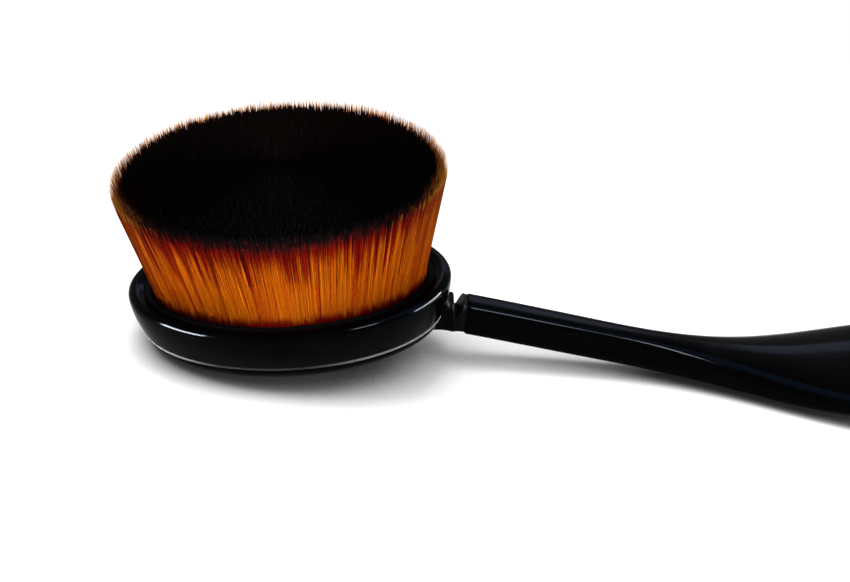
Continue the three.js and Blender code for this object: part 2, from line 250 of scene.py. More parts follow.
class Finish:
    """A material being made, with one way to add any node."""

    def __init__(self, name):
        self.material = bpy.data.materials.new(name)
        self.material.use_nodes = True
        self.tree = self.material.node_tree
        self.shader = self.tree.nodes["Principled BSDF"]

    @staticmethod
    def _find(sockets, key):
        if isinstance(key, int):
            return sockets[key]
        return next((s for s in sockets if s.identifier == key), None) or sockets[key]

    def node(self, kind, settings=None, values=None, output=0):
        """Adds a node, sets its settings and then its sockets, and gives one of its outputs."""
        made = self.tree.nodes.new(kind)
        for key, value in (settings or {}).items():
            setattr(made, key, value)
        for key, value in (values or {}).items():
            self._set(self._find(made.inputs, key), value)
        return Term(self, self._find(made.outputs, output))

    def _set(self, socket, value):
        if isinstance(value, Term):
            self.tree.links.new(value.socket, socket)
        elif socket.type == "RGBA":
            socket.default_value = (*value, 1.0)
        else:
            socket.default_value = value

    def set(self, **values):
        """Sets sockets of the Principled shader, named with _ for a space."""
        for key, value in values.items():
            self._set(self.shader.inputs[key.replace("_", " ")], value)
        return self.material

    def place(self):
        return self.node("ShaderNodeTexCoord", output="Object")

    def part(self, vector, axis):
        return self.node("ShaderNodeSeparateXYZ", {}, {0: vector}, axis)

    def stretched(self, vector, scale):
        return self.node("ShaderNodeVectorMath", {"operation": "MULTIPLY"}, {0: vector, 1: scale})

    def noise(self, vector, scale, detail=2.0, roughness=0.5):
        values = {"Vector": vector, "Scale": scale, "Detail": detail, "Roughness": roughness}
        return self.node("ShaderNodeTexNoise", {}, values, "Fac")

    def between(self, value, low, high):
        """0 below low, 1 above high and a smooth step between."""
        values = {"Value": value, "From Min": low, "From Max": high}
        return self.node("ShaderNodeMapRange", {"interpolation_type": "SMOOTHSTEP"}, values)

    def mix(self, factor, first, second):
        values = {"Factor_Float": factor, "A_Color": first, "B_Color": second}
        return self.node("ShaderNodeMix", {"data_type": "RGBA"}, values, "Result_Color")

    def bump(self, height, distance, strength=1.0):
        values = {"Height": height, "Distance": distance, "Strength": strength}
        return self.node("ShaderNodeBump", {}, values)


# ---- Finishes ----


def polished(name, painted_line=None, matt=None):
    """Polished black plastic: a faint moulding ripple, handling haze and hair-fine scratches."""
    looks = bpy.context.scene.brush_finish
    finish = Finish(name)
    place = finish.place()
    haze = finish.between(finish.noise(place, 90.0, 4.0, 0.6), 0.48, 0.78)
    scratch_lines = finish.noise(finish.stretched(place, (0.25, 2.6, 1.0)), 2600.0, 3.0, 0.7)
    scratches = finish.between(scratch_lines, 0.66, 0.72)
    ripple = finish.noise(place, 420.0, 2.0)
    grain = finish.noise(place, 5200.0, 2.0)
    colour_here = finish.mix(haze, tuple(looks.black), tuple(looks.haze))
    painted_highlight = 0.0
    rough = matt(finish, place) if matt else 0.0
    # A line mask given here paints a pale painted highlight into the colour and makes the plastic rougher
    # along it.
    if painted_line:
        painted_highlight = painted_line(finish, place, grain)
        colour_here = finish.mix(painted_highlight, colour_here, tuple(looks.worn_edge))
    return finish.set(
        Base_Color=colour_here,
        Roughness=0.085 + 0.07 * haze + 0.06 * scratches + 0.4 * painted_highlight + 0.4 * rough,
        Normal=finish.bump(ripple + 0.02 * grain + 0.012 * scratches, 0.00002, 0.5),
        Specular_IOR_Level=0.01,
        Specular_Tint=(0.75, 0.88, 1.0),
    )


def polished_black():
    """The two halves of the handle."""
    return polished("polished_black")


def stub_matt(finish, place):
    """One from where the neck's stub leaves the dome, nought on the dome itself."""
    head = bpy.context.scene.brush_head
    start = head_to_row([head.rim_half_length - head.wall_taper, 0.0, 0.0])[0]
    return finish.between(finish.part(place, "X"), start - 0.0012, start - 0.0004)


def cover_black():
    """The back cover, its neck stub left matt as it came from the mould."""
    return polished("cover_black", matt=stub_matt)


def seam_wear(finish, place, grain):
    """A fine pale painted highlight along the line where the dish's wall meets the cover, strongest towards
    the head's two ends; the same line is also made rougher.
    """
    head = bpy.context.scene.brush_head
    start = Vector(head_to_row([0.0, 0.0, 0.0]))
    from_middle = finish.node("ShaderNodeVectorMath", {"operation": "SUBTRACT"}, {0: place, 1: start})
    along = finish.part(from_middle, "X")
    height = finish.part(from_middle, "Z")
    above_seam = height * math.cos(head.pitch) - along * math.sin(head.pitch)
    low, high = head.seam_gap / 2, head.seam_gap / 2 + 3.0 * head.bead
    line = finish.between(above_seam, 0.0, low) * (1.0 - finish.between(above_seam, 0.5 * high, high))
    reach = finish.node("ShaderNodeMath", {"operation": "ABSOLUTE"}, {0: along + 0.004})
    # The painted highlight is strongest towards the head's two ends.
    ends = 0.22 + 0.78 * finish.between(reach, 0.006, 0.021)
    return line * ends * (0.7 + 0.5 * grain)


def dish_black():
    """The dish, with a painted highlight line along its seam, made rougher there."""
    return polished("dish_black", seam_wear)


def moulded_black():
    """The tray inside the well: black plastic straight from the mould, with a fine spark texture."""
    finish = Finish("moulded_black")
    place = finish.place()
    spark = finish.noise(place, 3800.0, 4.0, 0.65)
    cloud = finish.noise(place, 260.0, 2.0)
    return finish.set(
        Base_Color=finish.mix(cloud, (0.0003, 0.0003, 0.0003), (0.0008, 0.0007, 0.0006)),
        Roughness=0.42 + 0.2 * spark,
        Normal=finish.bump(spark, 0.00003, 0.6),
        Specular_IOR_Level=0.008,
    )


def neck_rubber():
    """The elastomer web of the neck: matt, with soft flow marks across it."""
    looks = bpy.context.scene.brush_finish
    finish = Finish("neck_rubber")
    place = finish.place()
    flow = finish.noise(finish.stretched(place, (4.0, 1.0, 1.0)), 500.0, 3.0)
    grain = finish.noise(place, 6500.0, 3.0, 0.7)
    return finish.set(
        Base_Color=finish.mix(flow, tuple(looks.rubber), tuple(2.0 * c for c in looks.rubber)),
        Roughness=0.38 + 0.22 * grain,
        Normal=finish.bump(grain + 0.6 * flow, 0.00002, 0.5),
        Specular_IOR_Level=0.02,
    )


def root_resin():
    """The cast resin that holds the roots, with the bubbles and wicking marks of a poured bed."""
    looks = bpy.context.scene.brush_finish
    finish = Finish("root_resin")
    place = finish.place()
    bubbles = finish.node("ShaderNodeTexVoronoi", {}, {"Vector": place, "Scale": 1400.0}, "Distance")
    cloud = finish.noise(place, 300.0, 3.0)
    pale = (0.075, 0.028, 0.008)
    return finish.set(
        Base_Color=finish.mix(cloud, tuple(looks.resin), pale),
        Roughness=0.3 + 0.25 * cloud,
        Normal=finish.bump(bubbles, 0.00006, 0.5),
        Specular_IOR_Level=0.3,
    )


def fibre_place(finish):
    """A fibre's own tone, and how far along it a point lies."""
    mapped = finish.node("ShaderNodeUVMap", {"uv_map": "fibre"})
    return finish.part(mapped, "X"), finish.part(mapped, "Y")


def side_fibre():
    """Dyed fibre: amber, dark red at the root and below the black tip. Its inner sides, and all sides of the
    marked fibres round the back, end instead in a pale painted glow that stands in for light shining through
    the thin tips.
    """
    looks = bpy.context.scene.brush_fibres
    finish = Finish("side_fibre")
    side, along = fibre_place(finish)
    inner = finish.between(side, 1.4, 1.6)
    tone = side - 2.0 * inner
    dye = finish.noise(finish.stretched(finish.place(), (1.0, 1.0, 0.12)), 1900.0, 3.0, 0.6)
    warm = finish.mix(finish.between(tone + 0.5 * dye, 0.45, 1.2), tuple(looks.amber), tuple(looks.honey))
    shaded = finish.mix(finish.between(tone, 0.08, 0.60), tuple(looks.ember), warm)
    drift = 0.10 * tone + 0.10 * dye
    above_root = finish.between(along, 0.095, 0.145 + 0.5 * drift)
    rooted = finish.mix(above_root, tuple(looks.ember), shaded)
    reddened = finish.mix(finish.between(along, 0.57 + drift, 0.78 + drift), rooted, tuple(looks.ember))
    in_dye = finish.between(along, 0.85 + 0.4 * drift, 0.92 + 0.4 * drift)
    dyed = finish.mix(in_dye, reddened, tuple(looks.soot))
    browned = finish.mix(0.45 * finish.between(along, 0.82, 0.92), rooted, tuple(looks.ember))
    # Painted glow: a pale tip in place of the black dye, on the inner sides and on the marked fibres round
    # the back.
    painted_backlight = finish.mix(finish.between(along, 0.925, 0.975), browned, tuple(looks.straw))
    painted_backlight_share = inner * finish.between(tone, 0.12, 0.35)
    return finish.set(
        Base_Color=finish.mix(painted_backlight_share, dyed, painted_backlight),
        Roughness=0.5 + 0.15 * dye,
        Specular_IOR_Level=0.003,
    )


def tip_fibre():
    """The dyed tips on top, a trace lighter where the dye ran thin."""
    looks = bpy.context.scene.brush_fibres
    finish = Finish("tip_fibre")
    tone, along = fibre_place(finish)
    dye = finish.noise(finish.place(), 700.0, 3.0)
    thin = (0.0014, 0.0005, 0.0004)
    faded = finish.between(tone + 0.4 * dye, 0.7, 1.3) * along
    return finish.set(
        Base_Color=finish.mix(faded, tuple(looks.soot), thin),
        Roughness=0.62 + 0.2 * dye,
        Specular_IOR_Level=0.0015,
    )


def pack_shade():
    """The packed fibres behind the outer layers: dark red at the side and black under the tips."""
    looks = bpy.context.scene.brush_fibres
    finish = Finish("pack_shade")
    place = finish.place()
    strands = finish.noise(finish.stretched(place, (1.0, 1.0, 0.06)), 2400.0, 3.0, 0.7)
    upper = finish.between(finish.part(place, "Z"), 0.024, 0.034)
    side = finish.mix(strands, tuple(looks.ember), tuple(looks.soot))
    return finish.set(
        Base_Color=finish.mix(upper, side, tuple(looks.soot)),
        Roughness=0.75 + 0.15 * strands,
        Normal=finish.bump(strands, 0.0002, 0.8),
        Specular_IOR_Level=0.02,
    )


def made_once(maker):
    """The material that a finish's function makes, which bears the function's name."""
    return bpy.data.materials.get(maker.__name__) or maker()


# ---- Shapes ----


def smoother(t):
    """0 to 1 with no kink at either end."""
    s = np.clip(t, 0.0, 1.0)
    return s * s * s * (s * (6 * s - 15) + 10)


def head_to_row(points):
    """Points of the head's frame, turned up by the pitch and set against the hinge."""
    head = bpy.context.scene.brush_head
    neck = bpy.context.scene.brush_neck
    cos, sin = math.cos(head.pitch), math.sin(head.pitch)
    reach = head.rim_half_length - head.wall_taper + neck.overhang
    hinge_height = -neck.drop - neck.notch_depth / 2
    start_x = HINGE.x - neck.gap / 2 - (reach * cos - hinge_height * sin)
    start_z = HINGE.z - (reach * sin + hinge_height * cos)
    x, y, z = np.moveaxis(np.asarray(points, float), -1, 0)
    return np.stack([start_x + x * cos - z * sin, y, start_z + x * sin + z * cos], axis=-1)


def oval_rings(outline, segments):
    """Rings of an oval body from (inset from the rim's outer edge, height) pairs, in the head's frame."""
    head = bpy.context.scene.brush_head
    turn = np.linspace(0.0, 2 * math.pi, segments, endpoint=False)
    inset, height = np.array(outline, float).T[:, :, None]
    x = (head.rim_half_length - inset) * np.cos(turn)
    y = (head.rim_half_width - inset) * np.sin(turn)
    return np.stack([x, y, np.broadcast_to(height, x.shape)], axis=-1)


def skin(name, rings, sharp_angle=40.0):
    """A closed mesh over rings of equal point count, each end closed by a fan about its middle."""
    count, around = rings.shape[:2]
    ends = np.stack([rings[0].mean(axis=0), rings[-1].mean(axis=0)])
    points = np.concatenate([rings.reshape(-1, 3), ends])
    faces = []
    for ring in range(count - 1):
        low, high = ring * around, (ring + 1) * around
        for i in range(around):
            after = (i + 1) % around
            faces.append((low + i, low + after, high + after, high + i))
    first, last = count * around, count * around + 1
    top = (count - 1) * around
    for i in range(around):
        after = (i + 1) % around
        faces.append((first, after, i))
        faces.append((last, top + i, top + after))
    mesh = bpy.data.meshes.new(name)
    mesh.from_pydata(points.tolist(), [], faces)
    tidy = bmesh.new()
    tidy.from_mesh(mesh)
    bmesh.ops.remove_doubles(tidy, verts=tidy.verts, dist=1e-7)
    bmesh.ops.dissolve_degenerate(tidy, edges=tidy.edges, dist=1e-8)
    bmesh.ops.recalc_face_normals(tidy, faces=tidy.faces)
    tidy.to_mesh(mesh)
    tidy.free()
    mesh.shade_smooth()
    mesh.set_sharp_from_angle(angle=math.radians(sharp_angle))
    piece = bpy.data.objects.new(name, mesh)
    bpy.context.scene.collection.objects.link(piece)
    return piece


def joined(name, parts):
    """Several pieces as one mesh under the first one's name."""
    bpy.ops.object.select_all(action="DESELECT")
    for part in parts:
        part.select_set(True)
    bpy.context.view_layer.objects.active = parts[0]
    bpy.ops.object.join()
    parts[0].name = name
    return parts[0]


def finished(piece, material, slot, body, *nodes):
    """Gives a piece its finish, its body and the nodes it stands for."""
    piece.data.materials.clear()
    piece.data.materials.append(material)
    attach(piece, body)
    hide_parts(*nodes)
    return piece


def rounded_section(sharpness, count):
    """Points round a rounded rectangle of half sizes 1, closest together at its corners."""
    turn = np.linspace(0.0, 2 * math.pi, count, endpoint=False)
    cos, sin = np.cos(turn), np.sin(turn)
    power = 2.0 / sharpness
    return np.sign(cos) * np.abs(cos) ** power, np.sign(sin) * np.abs(sin) ** power


def quarter(count):
    """Even turns from just above 0 to a right angle."""
    return [0.5 * math.pi * i / count for i in range(1, count + 1)]


# ---- Head ----


def dish_outline():
    """The dish from the middle of its underside, up the outer wall, over the rim and down into the well."""
    head = bpy.context.scene.brush_head
    wall = 0.0017
    floor = 0.0012
    foot_rounding = 0.0004
    foot = head.seam_gap / 2
    wall_top = head.dish_height - head.rim_rounding
    bead_radius = 1.6 * head.bead
    outline = [
        (0.98 * head.rim_half_width, head.well_floor - floor),
        (head.wall_taper + wall + foot_rounding, head.well_floor - floor),
        (head.wall_taper + wall, head.well_floor - floor - foot_rounding),
        (head.wall_taper + wall, foot),
        (head.wall_taper + 0.3 * head.bead, foot),
    ]
    for turn in quarter(8):
        power = 1 if turn < 0.25 * math.pi else 2
        swell = head.bead * math.sin(2 * turn) ** power
        outline.append((head.wall_taper - swell, foot + bead_radius * 2 * turn / math.pi))
    wall_foot = outline[-1][1]
    steps = 22
    for i in range(1, steps + 1):
        t = i / steps
        height = wall_foot + t * (wall_top - wall_foot)
        true_t = (height - foot) / (wall_top - foot)
        outline.append((head.wall_taper * (1 - true_t) ** 1.7, height))
    for turn in quarter(10):
        outline.append((
            head.rim_rounding * (1 - math.cos(turn)),
            wall_top + head.rim_rounding * math.sin(turn),
        ))
    inner_top = head.dish_height - head.rim_slope
    inner_rounding = 0.00012
    slope_end = head.rim_width - inner_rounding
    for i in range(1, 7):
        t = i / 6
        outline.append((
            head.rim_rounding + t * (slope_end - head.rim_rounding),
            head.dish_height - head.rim_slope * t * t,
        ))
    for turn in quarter(4):
        outline.append((
            slope_end + inner_rounding * math.sin(turn),
            inner_top - inner_rounding * (1 - math.cos(turn)),
        ))
    outline.append((head.rim_width, head.well_floor))
    outline.append((0.98 * head.rim_half_width, head.well_floor))
    return outline


class BRUSH_OT_dish(Operator):
    """Make the oval dish with its rounded rim, tapering wall and seam bead"""

    bl_idname = "brush.dish"
    bl_label = "Dish"

    def execute(self, context):
        rings = head_to_row(oval_rings(dish_outline(), 200))
        dish = skin("dish_skin", rings, 50.0)
        finished(dish, made_once(dish_black), "gloss_black", "head", "head_dish")
        return {"FINISHED"}


def dome_rings():
    """The back cover's dome, flat where it rests on the table, with a lip turned in under the dish."""
    head = bpy.context.scene.brush_head
    top = -head.seam_gap / 2
    lip = 0.0035
    outline = [(turn, top - head.dome_depth * math.cos(turn)) for turn in quarter(44)]
    half = head.rim_half_width - head.wall_taper
    seam_half_length = head.rim_half_length - head.wall_taper
    around = np.linspace(0.0, 2 * math.pi, 200, endpoint=False)
    rings = [
        np.stack([
            seam_half_length * math.sin(turn) * np.cos(around),
            half * math.sin(turn) * np.sin(around),
            np.full_like(around, height),
        ], axis=-1)
        for turn, height in outline
    ]
    rings.append(rings[-1] * [1 - lip / seam_half_length, 1 - lip / half, 1.0])
    placed = head_to_row(np.array(rings))
    placed[..., 2] = np.maximum(placed[..., 2], 0.0)
    return placed


def stub_rings():
    """The neck's stub, from inside the dome to its rounded end, swelling where it leaves the cover."""
    head = bpy.context.scene.brush_head
    neck = bpy.context.scene.brush_neck
    seam_half_length = head.rim_half_length - head.wall_taper
    end = seam_half_length + neck.overhang
    buried = 0.0146
    swell_end = seam_half_length + 0.0008
    swell_length, swell_height = 0.004, 0.0012
    greatest_rise = 0.0016
    fillet_height, fillet_start, fillet_end = 0.0019, 0.0034, 0.0007
    lowest = 0.0006
    u, v = rounded_section(bpy.context.scene.brush_handle.ridge_sharpness, 72)
    rings = []
    reaches = list(np.linspace(end - buried, end - neck.edge, 72))
    reaches += [end - neck.edge * (1 - math.sin(turn)) for turn in quarter(7)]
    for reach in reaches:
        into_edge = max(0.0, (reach - (end - neck.edge)) / neck.edge)
        pull = neck.edge * (1 - math.sqrt(max(0.0, 1 - into_edge**2)))
        swell = swell_height * max(0.0, min(1.0, (swell_end - reach) / swell_length)) ** 2
        half_width = neck.half_width - pull + 1.3 * swell
        rise = min(greatest_rise, 0.28 * (end - reach))
        half_height = neck.half_height - pull - rise / 2
        before_end = smoother((end - fillet_end - reach) / 0.0009)
        after_start = smoother((reach - end + fillet_start) / 0.0008)
        fillet = fillet_height * before_end * after_start
        height = half_height * v - neck.drop + rise / 2 + fillet * np.clip(v, 0.0, 1.0) ** 2
        rings.append(np.stack([np.full_like(u, reach), half_width * u, height], axis=-1))
    placed = head_to_row(np.array(rings))
    placed[..., 2] = np.maximum(placed[..., 2], lowest)
    return placed


class BRUSH_OT_cover(Operator):
    """Make the domed back cover with the stub that carries the neck"""

    bl_idname = "brush.cover"
    bl_label = "Back cover"

    def execute(self, context):
        dome = skin("cover_skin", dome_rings(), 30.0)
        stub = skin("stub_skin", stub_rings(), 60.0)
        cover = joined("cover_skin", [dome, stub])
        finished(cover, made_once(cover_black), "gloss_black", "head", "back_cover")
        return {"FINISHED"}


def tray_outline():
    """The tray's ring: it stands against the rim's inner wall and rolls down to the roots of the fibres."""
    head = bpy.context.scene.brush_head
    fibres = bpy.context.scene.brush_fibres
    slack = 0.00003
    outer = head.rim_width + slack
    inner = fibres.inset - 0.00028
    top = head.dish_height - head.rim_slope - slack
    edge = 0.00012
    roll = 0.0004
    base = head.well_floor + 0.0003
    bed = base + 0.001
    middle = 0.98 * head.rim_half_width
    outline = [(middle, base), (outer + roll, base), (outer, base + roll), (outer, top - edge)]
    for turn in quarter(4):
        outline.append((outer + edge * (1 - math.cos(turn)), top - edge * (1 - math.sin(turn))))
    outline.append((inner - roll, top - edge))
    for turn in quarter(6):
        outline.append((
            inner - roll * (1 - math.sin(turn)),
            top - edge - roll * (1 - math.cos(turn)),
        ))
    outline += [(inner, bed), (middle, bed)]
    return outline


class BRUSH_OT_well(Operator):
    """Make the tray that holds the fibres and give the resin bed in it its finish"""

    bl_idname = "brush.well"
    bl_label = "Tray and resin"

    def execute(self, context):
        tray = skin("tray_skin", head_to_row(oval_rings(tray_outline(), 200)), 50.0)
        finished(tray, made_once(moulded_black), "satin_black", "head", "tuft_tray")
        for slot in frame["nodes"]["resin_bed"].material_slots:
            slot.material = made_once(root_resin)
        return {"FINISHED"}


# ---- Fibres ----


def tuft_half_sizes(height, inset):
    """Half length and half width of the tuft at a height, a given distance inside its surface."""
    head = bpy.context.scene.brush_head
    fibres = bpy.context.scene.brush_fibres
    rim_top = head.dish_height - head.rim_slope
    shoulder_height = fibres.root_height + fibres.length - 0.0017
    t = np.clip((height - rim_top) / (shoulder_height - rim_top), 0.0, None)
    half_length = head.rim_half_length - fibres.inset + fibres.flare_length * t - inset
    half_width = head.rim_half_width - fibres.inset + fibres.flare_width * t - inset
    return half_length, half_width


# A fibre's section: three corners as (outwards, sideways) shares of its radius, the middle one innermost.
WEDGE = np.array([(0.28, 1.15), (-0.20, 0.0), (0.28, -1.15)])


def strands(name, centres, radii, outwards, tones, alongs, painted_glow=None):
    """Three-sided tapering fibres as one mesh. centres is (fibre, ring, 3); each ends in a point.

    One side of a fibre faces outwards and two face in. On the map "fibre", u is the fibre's tone, with 2
    added on its inner sides and all round a fibre whose tip gets a painted glow, and v is how far along it a
    point lies.
    """
    count, rings = centres.shape[:2]
    axis = centres[:, -1] - centres[:, 0]
    axis /= np.linalg.norm(axis, axis=1, keepdims=True)
    out = outwards - axis * (outwards * axis).sum(axis=1, keepdims=True)
    out /= np.linalg.norm(out, axis=1, keepdims=True)
    side = np.cross(axis, out)
    ring_points = (
        centres[:, :-1, None, :]
        + radii[:, :-1, None, None]
        * (WEDGE[:, 0][None, None, :, None] * out[:, None, None, :]
           + WEDGE[:, 1][None, None, :, None] * side[:, None, None, :])
    )
    body = ring_points.reshape(count, -1, 3)
    points = np.concatenate([body, centres[:, -1:, :]], axis=1)
    per_fibre = points.shape[1]
    tip = per_fibre - 1
    faces, marks, shares = [(2, 1, 0)], [(0, 0, 0)], [(0.1, 0.2, 0.1)]
    inner_faces = [False]
    for corner in range(3):
        after = (corner + 1) % 3
        left, right = (0.54, 0.96) if corner < 2 else (0.04, 0.46)
        for ring in range(rings - 2):
            low, high = ring * 3, (ring + 1) * 3
            faces.append((low + corner, low + after, high + after, high + corner))
            marks.append((ring, ring, ring + 1, ring + 1))
            shares.append((left, right, right, left))
        low = (rings - 2) * 3
        faces.append((low + corner, low + after, tip))
        marks.append((rings - 2, rings - 2, rings - 1))
        shares.append((left, right, (left + right) / 2))
        inner_faces += [corner < 2] * (rings - 1)
    starts = np.arange(count) * per_fibre
    all_faces = [tuple(start + i for i in face) for start in starts.tolist() for face in faces]
    mesh = bpy.data.meshes.new(name)
    mesh.from_pydata(points.reshape(-1, 3).tolist(), [], all_faces)
    corner_rings = np.array([ring for mark in marks for ring in mark])
    corner_shares = np.array([share for row in shares for share in row])
    corner_inner = np.array([inner for inner, mark in zip(inner_faces, marks) for _ in mark])
    corners = len(corner_rings)
    # Corners given a painted glow at the tip: every inner side, and all round the marked fibres.
    painted_backlight = np.tile(corner_inner, count)
    if painted_glow is not None:
        painted_backlight = painted_backlight | np.repeat(painted_glow, corners)
    tone_uv = np.stack([
        np.repeat(tones, corners) + 2.0 * painted_backlight,
        alongs[:, corner_rings].reshape(-1),
    ], axis=1)
    columns = math.ceil(math.sqrt(1.6 * count))
    rows = math.ceil(count / columns)
    number = np.repeat(np.arange(count), corners)
    share_along = np.tile(corner_rings / (rings - 1), count)
    bake_uv = np.stack([
        (number % columns + np.tile(corner_shares, count)) / columns,
        (number // columns + 0.04 + 0.92 * share_along) / rows,
    ], axis=1)
    for layer_name, places in (("fibre", tone_uv), ("OFBake", bake_uv)):
        layer = mesh.uv_layers.new(name=layer_name)
        layer.uv.foreach_set("vector", places.astype(np.float32).ravel())
    mesh.uv_layers.active = mesh.uv_layers["fibre"]
    mesh.uv_layers["fibre"].active_render = True
    mesh.shade_smooth()
    piece = bpy.data.objects.new(name, mesh)
    bpy.context.scene.collection.objects.link(piece)
    return piece


def outwards_of(turn):
    """Directions straight out of the tuft's side at these turns about it."""
    flat = np.stack([np.cos(turn), np.sin(turn), np.zeros_like(turn)], axis=-1)
    return head_to_row(flat) - head_to_row(np.zeros(3))


def side_layer(number, random):
    """One layer of whole fibres round the tuft, in clumps that draw together at their tips."""
    fibres = bpy.context.scene.brush_fibres
    count = fibres.per_layer
    rings = 8
    depth = 0.00013 * number + 0.00003 * number**2
    start = 2 * math.pi * (np.arange(count) + random.uniform(-0.6, 0.6, count)) / count
    clumps = 240 + 14 * number
    clump_of = np.floor(start / (2 * math.pi) * clumps + random.uniform(0, 1))
    clump_middle = (clump_of + 0.5) / clumps * 2 * math.pi
    groups = clumps + 2
    group_of = clump_of.astype(int) % groups
    clump_pull = random.uniform(0.15, 0.6, groups)[group_of]
    clump_tone = random.uniform(-0.34, 0.26, groups)[group_of]
    clump_length = random.normal(0.0, 0.45, groups)[group_of]
    t = np.linspace(0.0, 1.0, rings)[None, :] ** 0.9
    gather = clump_pull[:, None] * t**2.2
    turn = start[:, None] * (1 - gather) + clump_middle[:, None] * gather
    bow = random.normal(0.0, 0.0016, count)[:, None] * np.sin(math.pi * t)
    drift = random.normal(0, 0.0022, count)[:, None] * t
    turn = turn + (bow + drift)
    lengths = fibres.length - fibres.shoulder * max(0.0, 1 - number / 5) ** 1.5
    lengths = lengths + fibres.spread * (0.55 * clump_length + random.normal(0.0, 0.45, count))
    height = fibres.root_height + t * lengths[:, None]
    lean = random.normal(0.0, 0.00010, count)[:, None] * t**2
    half_length, half_width = tuft_half_sizes(height, depth + lean)
    centres = head_to_row(np.stack([half_length * np.cos(turn), half_width * np.sin(turn), height], axis=-1))
    thinning = np.clip((t - 0.72) / 0.28, 0.0, 1.0)
    taper = 1.0 - 0.78 * thinning**1.3
    radii = fibres.radius * random.uniform(0.82, 1.15, count)[:, None] * taper
    layer_tone = 0.78 - 0.115 * number
    tones = np.clip(layer_tone + clump_tone + random.normal(0.0, 0.11, count), 0.0, 1.0)
    clump_red = random.uniform(0.0, 1.0, groups)[group_of]
    early_red = np.where(clump_red > 0.70, 1.0, 0.5 * clump_red) * random.uniform(0.6, 1.15, count)
    alongs = t + 4.6 * early_red[:, None] * (t * (1 - t)) ** 2
    # Round the back, the outer layers' fibres get a painted glow at their tips.
    from_front = np.abs((start + math.pi / 2 + math.pi) % (2 * math.pi) - math.pi)
    border = fibres.undyed_from + random.normal(0.0, math.radians(8), count)
    painted_glow = (number < fibres.undyed_layers) & (from_front > border)
    return strands(f"side_fibres_{number + 1}", centres, radii, outwards_of(start), tones, alongs, painted_glow)


class BRUSH_OT_side_fibres(Operator):
    """Make the layers of whole fibres round the side of the tuft"""

    bl_idname = "brush.side_fibres"
    bl_label = "Side fibres"

    def execute(self, context):
        random = np.random.default_rng(11)
        for number in range(context.scene.brush_fibres.layers):
            layer = side_layer(number, random)
            finished(layer, made_once(side_fibre), "fibre", "head", "fibre_tuft")
        return {"FINISHED"}


def tip_height(distance):
    """Height of the top of the tuft at a share of the way from its middle to its edge."""
    fibres = bpy.context.scene.brush_fibres
    edge = np.clip((distance - 0.90) / 0.10, 0.0, 1.0)
    return fibres.root_height + fibres.length + fibres.crown * (1 - distance**2) - fibres.shoulder * edge**2


class BRUSH_OT_tip_fibres(Operator):
    """Make the field of dyed tips on top of the tuft"""

    bl_idname = "brush.tip_fibres"
    bl_label = "Tip fibres"

    def execute(self, context):
        fibres = context.scene.brush_fibres
        random = np.random.default_rng(23)
        top = fibres.root_height + fibres.length
        half_length, half_width = tuft_half_sizes(top - 0.0017, 0.0014)
        spacing = fibres.tip_spacing
        across = np.arange(-half_length, half_length, spacing)
        rows = np.arange(-half_width, half_width, spacing * math.sqrt(0.75))
        x, y = np.meshgrid(across, rows)
        x = x + 0.5 * spacing * (np.arange(len(rows)) % 2)[:, None]
        spots = np.stack([x.ravel(), y.ravel()], axis=1)
        spots += random.uniform(-0.36, 0.36, spots.shape) * spacing
        distance = np.hypot(spots[:, 0] / half_length, spots[:, 1] / half_width)
        spots, distance = spots[distance < 1], distance[distance < 1]
        pieces = 2
        share_of = (np.argsort(np.argsort(spots[:, 0])) * pieces) // len(spots)
        for number in range(pieces):
            here = share_of == number
            tips = self.tips(fibres, spots[here], distance[here], random)
            piece = strands(f"tip_fibres_{number + 1}", *tips)
            finished(piece, made_once(tip_fibre), "fibre", "head", "fibre_tuft")
        return {"FINISHED"}

    @staticmethod
    def tips(fibres, spots, distance, random):
        """Centres, radii, tones and places along the fibre for tips at these spots."""
        count = len(spots)
        depth = 0.0032
        top = tip_height(distance) + random.normal(0.0, 0.35, count) * fibres.spread
        flare = np.array([fibres.flare_length, fibres.flare_width])
        lean = spots / np.array(tuft_half_sizes(0.0298, 0.0)) * flare / 0.0218
        lean = lean + random.normal(0.0, 0.035, spots.shape)
        rings = np.array([0.0, 0.55, 1.0])
        centres = np.zeros((count, len(rings), 3))
        below = depth * (1 - rings)
        centres[:, :, 0] = spots[:, :1] - lean[:, :1] * below
        centres[:, :, 1] = spots[:, 1:] - lean[:, 1:] * below
        centres[:, :, 2] = top[:, None] - below
        radii = fibres.radius * random.uniform(1.0, 1.5, count)[:, None] * np.array([1.5, 1.05, 0.2])
        alongs = np.repeat(rings[None, :], count, axis=0)
        outwards = outwards_of(np.arctan2(spots[:, 1], spots[:, 0]))
        return head_to_row(centres), radii, outwards, random.uniform(0.0, 1.0, count), alongs


class BRUSH_OT_fibre_core(Operator):
    """Make the packed middle of the tuft, which closes it behind the outer fibres"""

    bl_idname = "brush.fibre_core"
    bl_label = "Fibre core"

    def execute(self, context):
        fibres = context.scene.brush_fibres
        top = fibres.root_height + fibres.length - 0.0024
        steps = 30
        around = np.linspace(0.0, 2 * math.pi, 240, endpoint=False)
        furrow = 0.00009 * np.sin(97 * around) + 0.00007 * np.sin(61 * around + 1.3)
        rings = []
        for i in range(steps + 1):
            height = fibres.root_height + (top - fibres.root_height) * i / steps
            half_length, half_width = tuft_half_sizes(height, 0.0013)
            rings.append(np.stack([
                (half_length + furrow) * np.cos(around),
                (half_width + furrow) * np.sin(around),
                np.full_like(around, height),
            ], axis=-1))
        for shrink in (0.94, 0.8, 0.55, 0.25):
            ring = rings[steps] * [shrink, shrink, 1.0]
            ring[:, 2] = top + fibres.crown * (1 - shrink**2)
            rings.append(ring)
        core = skin("fibre_core", head_to_row(np.array(rings)), 60.0)
        finished(core, made_once(pack_shade), "fibre", "head", "fibre_tuft")
        return {"FINISHED"}


# ---- Handle and neck ----


